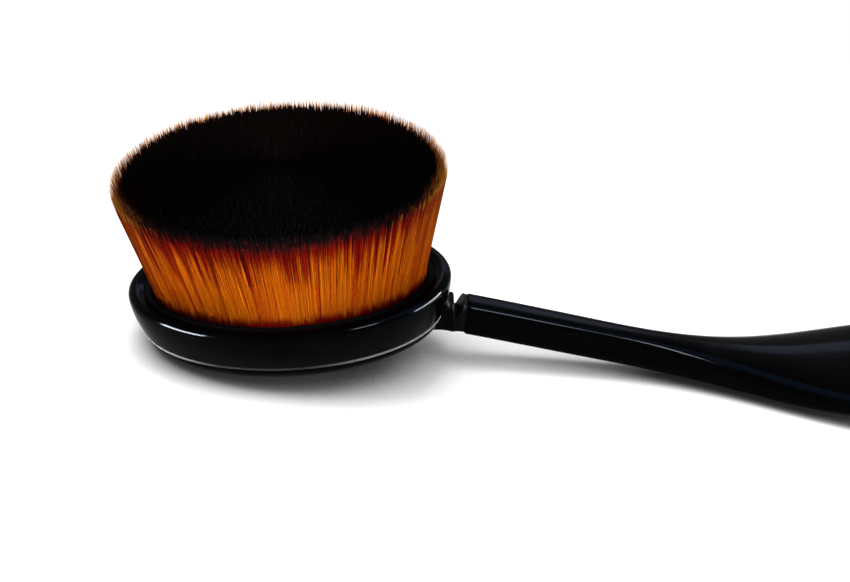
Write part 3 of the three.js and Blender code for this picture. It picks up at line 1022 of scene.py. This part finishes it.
def centre_line():
    """The handle's centre line as (reach, height) samples: a fall from the neck and a rise to the tail."""
    handle = bpy.context.scene.brush_handle
    neck = bpy.context.scene.brush_neck
    head = bpy.context.scene.brush_head
    stub_end = head.rim_half_length - head.wall_taper + neck.overhang
    neck_height = head_to_row([stub_end, 0.0, -neck.drop])[2]
    front = neck_height - handle.slope * neck.gap / 2
    low = handle.low_half_height
    tail = (handle.length, low + handle.tail_rise)
    fall = [
        (0.0, front),
        (0.41 * handle.low_reach, front - handle.slope * 0.41 * handle.low_reach),
        (0.72 * handle.low_reach, low),
        (handle.low_reach, low),
    ]
    middle = (handle.low_reach + 0.37 * (handle.length - handle.low_reach), low)
    t = np.linspace(0.0, 1.0, 200)[:, None]
    a, b, c, d = (np.array(p) for p in fall)
    falling = (1 - t) ** 3 * a + 3 * (1 - t) ** 2 * t * b + 3 * (1 - t) * t**2 * c + t**3 * d
    rising = (1 - t) ** 2 * d + 2 * (1 - t) * t * np.array(middle) + t**2 * np.array(tail)
    return np.concatenate([falling, rising[1:]])


def handle_section(reach):
    """Half width, half height and squareness of the handle's section at a distance behind its front."""
    handle = bpy.context.scene.brush_handle
    neck = bpy.context.scene.brush_neck
    full = handle.length - handle.tail_rounding
    into = np.clip((reach - full) / handle.tail_rounding, 0.0, 1.0)
    tail = np.sqrt(np.maximum(0.0, 1 - into**2))
    widening = smoother((reach - handle.paddle_start) / (full - handle.paddle_start))
    half_width = (neck.half_width + (handle.paddle_half_width - neck.half_width) * widening) * tail
    settled = smoother(reach / handle.low_reach)
    front = neck.half_height + (handle.low_half_height - neck.half_height) * settled
    back_share = np.clip((reach - handle.low_reach) / (handle.length - handle.low_reach), 0.0, 1.0)
    half_height = front + (handle.tail_half_height - handle.low_half_height) * back_share
    sharpness = handle.ridge_sharpness + (handle.paddle_sharpness - handle.ridge_sharpness) * settled
    return half_width, half_height * np.sqrt(tail), sharpness


def handle_shell(side):
    """The upper (1) or lower (-1) shell of the handle, its edges eased along the seam and at the front."""
    handle = bpy.context.scene.brush_handle
    neck = bpy.context.scene.brush_neck
    line = centre_line()
    full = handle.length - handle.tail_rounding
    reaches = [neck.handle_edge * (1 - math.cos(turn)) for turn in [0.0, *quarter(7)]]
    reaches += list(np.linspace(neck.handle_edge, full, 150)[1:])
    reaches += [full + handle.tail_rounding * math.sin(turn) for turn in quarter(26)[:-1]]
    reaches.append(full + handle.tail_rounding * 0.9995)
    front_x = HINGE.x + neck.gap / 2
    turns = np.linspace(0.0, math.pi, 61)
    ease = 0.00035
    rings = []
    for reach in reaches:
        half_width, half_height, sharpness = handle_section(reach)
        power = 2.0 / sharpness
        u = np.sign(np.cos(turns)) * np.abs(np.cos(turns)) ** power
        v = np.abs(np.sin(turns)) ** power
        before_edge = max(0.0, 1 - reach / neck.handle_edge)
        pull = neck.handle_edge * (1 - math.sqrt(max(0.0, 1 - before_edge**2)))
        height = np.maximum((half_height - pull) * v, 0.00002)
        groove = handle.seam * np.clip(1 - height / ease, 0.0, 1.0) ** 2
        width = np.maximum(half_width - pull - groove, 0.00002)
        arc = np.stack([
            np.full_like(u, front_x + reach),
            width * u,
            np.interp(reach, line[:, 0], line[:, 1]) + side * height,
        ], axis=-1)
        chord = np.linspace(arc[-1], arc[0], 9)[1:-1]
        rings.append(np.concatenate([arc, chord]))
    return np.array(rings)


class BRUSH_OT_handle(Operator):
    """Make the handle's upper and lower shells"""

    bl_idname = "brush.handle"
    bl_label = "Handle"

    def execute(self, context):
        for name, side, node in (
            ("handle_upper_skin", 1, "handle_top_shell"),
            ("handle_lower_skin", -1, "handle_bottom_shell"),
        ):
            shell = skin(name, handle_shell(side), 50.0)
            finished(shell, made_once(polished_black), "gloss_black", "handle", node)
        return {"FINISHED"}


class BRUSH_OT_neck(Operator):
    """Make the flexible web under the neck's notch, bending between head and handle"""

    bl_idname = "brush.neck"
    bl_label = "Neck web"

    def execute(self, context):
        head = context.scene.brush_head
        neck = context.scene.brush_neck
        handle = context.scene.brush_handle
        stub_end = head.rim_half_length - head.wall_taper + neck.overhang
        bite = 0.0009
        inner, inner_at_handle = 0.00012, 0.0002
        notch_lip = 0.0002
        start = head_to_row([stub_end - bite, 0.0, -neck.drop])
        face = head_to_row([stub_end, 0.0, -neck.drop])
        front = Vector((HINGE.x + neck.gap / 2, 0.0, face[2] - handle.slope * neck.gap / 2))
        finish_x = front.x + bite
        u, v = rounded_section(handle.ridge_sharpness, 96)
        head_lean = math.tan(head.pitch)
        rings = []
        for x in np.linspace(start[0], finish_x, 40):
            t = smoother((x - start[0]) / (finish_x - start[0]))
            head_z = face[2] + (x - face[0]) * head_lean
            handle_z = front.z - (x - front.x) * handle.slope
            middle = head_z * (1 - t) + handle_z * t
            past_notch = (x - (face[0] + notch_lip)) / (front.x - face[0] - 0.0005)
            rise = np.clip(past_notch, 0.0, 1.0) ** 1.15
            top = middle + neck.half_height - neck.notch_depth * (1 - rise) - 0.0001
            at_handle = smoother((x - front.x + neck.handle_edge) / neck.handle_edge)
            tuck = inner + (inner_at_handle - inner) * at_handle
            half_width = neck.half_width - tuck
            half_height = neck.half_height - tuck
            lean = head_lean * (1 - t)
            z = np.minimum(middle + half_height * v, top)
            rings.append(np.stack([np.full_like(u, x) - lean * (z - middle), half_width * u, z], axis=-1))
        web = skin("neck_web", np.array(rings), 35.0)
        web.data.materials.append(made_once(neck_rubber))
        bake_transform(web)
        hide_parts("neck_spine")
        return {"FINISHED"}


# ---- Stage ----


def floor_material():
    """A plain pale table: it takes the brush's shadow, and near the brush its colour is painted dark where
    the brush hides it from the room, a painted shadow; far from the brush it is seen as white.
    """
    stage = bpy.context.scene.brush_stage
    finish = Finish("table_top")
    place = finish.place()
    middle = Vector(((cad_box[0][0] + cad_box[1][0]) / 2, 0.0, 0.0))
    half_long = (cad_box[1][0] - cad_box[0][0]) / 2
    offset = finish.node("ShaderNodeVectorMath", {"operation": "SUBTRACT"}, {0: place, 1: middle})
    squeezed = finish.stretched(offset, (0.05 / half_long, 1.0, 0.0))
    away = finish.node("ShaderNodeVectorMath", {"operation": "LENGTH"}, {0: squeezed}, "Value")
    far = finish.between(away, 0.06, stage.white_from)
    paper = finish.noise(place, 260.0, 4.0, 0.6)
    pale = finish.mix(paper, tuple(stage.floor), tuple(0.985 * c for c in stage.floor))
    reach = {"Distance": stage.shadow_reach}
    openness = finish.node("ShaderNodeAmbientOcclusion", {"samples": 16}, reach, "AO")
    # Painted shadow: the table's colour goes near black where the brush hides it from the room.
    shaded = (0.01, 0.01, 0.01)
    finish.set(
        Base_Color=finish.mix(finish.between(openness, 0.20, 0.68), shaded, pale),
        Roughness=0.8 + 0.1 * paper,
        Specular_IOR_Level=0.05,
    )
    white = finish.node("ShaderNodeEmission", {}, {"Color": (1.0, 1.0, 1.0), "Strength": 1.0})
    seen = seen_directly(finish)
    both = finish.node("ShaderNodeMixShader", {}, {
        0: seen * far, 1: Term(finish, finish.shader.outputs[0]), 2: white,
    })
    finish.tree.links.new(both.socket, finish.tree.nodes["Material Output"].inputs["Surface"])
    return finish.material


def seen_directly(finish):
    """1 for rays from the camera, and for those reflected or refracted on their way to it."""
    camera = finish.node("ShaderNodeLightPath", output="Is Camera Ray")
    glossy = finish.node("ShaderNodeLightPath", output="Is Glossy Ray")
    clear = finish.node("ShaderNodeLightPath", output="Is Transmission Ray")
    return finish.node("ShaderNodeMath", {"operation": "MINIMUM"}, {0: camera + glossy + clear, 1: 1.0})


def pale_world(ambient):
    """White where it is seen, and a plain level of light on the brush."""
    world = bpy.data.worlds.new("pale_room")
    bpy.context.scene.world = world
    world.use_nodes = True
    holder = Finish.__new__(Finish)
    holder.tree = world.node_tree
    seen = seen_directly(holder)
    back = world.node_tree.nodes["Background"]
    back.inputs["Color"].default_value = (1.0, 1.0, 1.0, 1.0)
    world.node_tree.links.new((ambient + (1.0 - ambient) * seen).socket, back.inputs["Strength"])


def softbox(name, place, target, size, power):
    """A rectangular lamp at place, facing target."""
    lamp = bpy.data.lights.new(name, "AREA")
    lamp.shape = "RECTANGLE"
    lamp.size, lamp.size_y = size
    lamp.energy = power
    holder = bpy.data.objects.new(name, lamp)
    bpy.context.scene.collection.objects.link(holder)
    holder.location = place
    holder.rotation_euler = (Vector(target) - Vector(place)).to_track_quat("-Z", "Y").to_euler()
    return holder


def card(name, place, target, size, power, tint=(1.0, 1.0, 1.0)):
    """A lamp that shows only as a highlight on glossy surfaces."""
    holder = softbox(name, place, target, size, power)
    holder.data.color = tint
    holder.visible_diffuse = False
    return holder


class BRUSH_OT_stage(Operator):
    """Make the table, the soft lamps and the camera"""

    bl_idname = "brush.stage"
    bl_label = "Stage"

    def execute(self, context):
        stage = context.scene.brush_stage
        self.table()
        pale_world(stage.ambient)
        head_middle = Vector(head_to_row([0.0, 0.0, 0.0]))
        middle = (0.03, 0.0, 0.01)
        softbox("top_softbox", (-0.05, 0.04, 0.62), middle, (0.20, 0.20), 2.4)
        sides = (("left_softbox", (-0.80, -0.02, 0.26), 18.0), ("right_softbox", (0.73, -0.16, 0.26), 9.5))
        for name, place, power in sides:
            softbox(name, place, (0.015, 0.0, 0.025), (0.40, 0.30), power).visible_glossy = False
        over_handle = (0.08, 0.0, 0.01)
        card("left_card", (-0.66, -0.36, 0.11), middle, (0.42, 0.24), 340.0)
        card("right_card", (0.75, -0.02, 0.20), middle, (0.50, 0.24), 150.0)
        card("ridge_card", (0.22, -0.31, 0.50), over_handle, (0.12, 0.10), 10.0)
        card("sheen_card", (0.32, -0.05, 0.60), over_handle, (0.35, 0.70), 6.0, (0.25, 0.5, 1.0))
        card("back_card", (0.095, 0.68, 0.41), over_handle, (0.47, 0.08), 0.65, (0.6, 0.65, 1.0))
        self.camera(stage, Vector((head_middle.x, 0.0, 0.0)))
        context.scene.view_settings.view_transform = "Standard"
        return {"FINISHED"}

    @staticmethod
    def table():
        mesh = bpy.data.meshes.new("table_top")
        sheet = bmesh.new()
        bmesh.ops.create_grid(sheet, x_segments=8, y_segments=8, size=4.0)
        sheet.to_mesh(mesh)
        sheet.free()
        table = bpy.data.objects.new("table_top", mesh)
        bpy.context.scene.collection.objects.link(table)
        table.location.z = -0.00002
        table.data.materials.append(floor_material())

    @staticmethod
    def camera(stage, target):
        azimuth, elevation = stage.azimuth, stage.elevation
        back = Vector((
            math.sin(azimuth) * math.cos(elevation),
            -math.cos(azimuth) * math.cos(elevation),
            math.sin(elevation),
        ))
        level_right = Vector((math.cos(azimuth), math.sin(azimuth), 0.0))
        level_up = back.cross(level_right)
        right = math.cos(stage.roll) * level_right + math.sin(stage.roll) * level_up
        up = -math.sin(stage.roll) * level_right + math.cos(stage.roll) * level_up
        camera = bpy.data.cameras.new("camera")
        camera.lens = stage.lens
        camera.sensor_width = 36.0
        camera.clip_start = 0.01
        camera.clip_end = 50.0
        holder = bpy.data.objects.new("camera", camera)
        bpy.context.scene.collection.objects.link(holder)
        turn = Matrix((right, up, back)).transposed()
        place = target + stage.distance * back + stage.shift_right * right + stage.shift_up * up
        holder.matrix_world = Matrix.Translation(place) @ turn.to_4x4()
        bpy.context.scene.camera = holder


# ---- Add-on ----

OPERATORS = (
    BRUSH_OT_dish,
    BRUSH_OT_cover,
    BRUSH_OT_well,
    BRUSH_OT_fibre_core,
    BRUSH_OT_side_fibres,
    BRUSH_OT_tip_fibres,
    BRUSH_OT_handle,
    BRUSH_OT_neck,
    BRUSH_OT_stage,
)

GROUPS = {
    "brush_head": BRUSH_PG_head,
    "brush_neck": BRUSH_PG_neck,
    "brush_handle": BRUSH_PG_handle,
    "brush_fibres": BRUSH_PG_fibres,
    "brush_finish": BRUSH_PG_finish,
    "brush_stage": BRUSH_PG_stage,
}


class BRUSH_PT_maker(Panel):
    """Sizes, colours and the steps that build the brush"""

    bl_idname = "BRUSH_PT_maker"
    bl_label = "Oval brush"
    bl_space_type = "VIEW_3D"
    bl_region_type = "UI"
    bl_category = "Brush"

    def draw(self, context):
        for name, group in GROUPS.items():
            box = self.layout.box()
            box.label(text=group.__doc__)
            for key in group.__annotations__:
                box.prop(getattr(context.scene, name), key)
        for operator in OPERATORS:
            self.layout.operator(operator.bl_idname)


CLASSES = (*GROUPS.values(), *OPERATORS, BRUSH_PT_maker)


def register():
    for cls in CLASSES:
        bpy.utils.register_class(cls)
    for name, group in GROUPS.items():
        setattr(bpy.types.Scene, name, PointerProperty(type=group))


def unregister():
    for name in GROUPS:
        delattr(bpy.types.Scene, name)
    for cls in reversed(CLASSES):
        bpy.utils.unregister_class(cls)


def main():
    register()
    bpy.ops.brush.dish()
    bpy.ops.brush.cover()
    bpy.ops.brush.well()
    bpy.ops.brush.fibre_core()
    bpy.ops.brush.side_fibres()
    bpy.ops.brush.tip_fibres()
    bpy.ops.brush.handle()
    bpy.ops.brush.neck()
    bpy.ops.brush.stage()


if __name__ == "__main__":
    main()
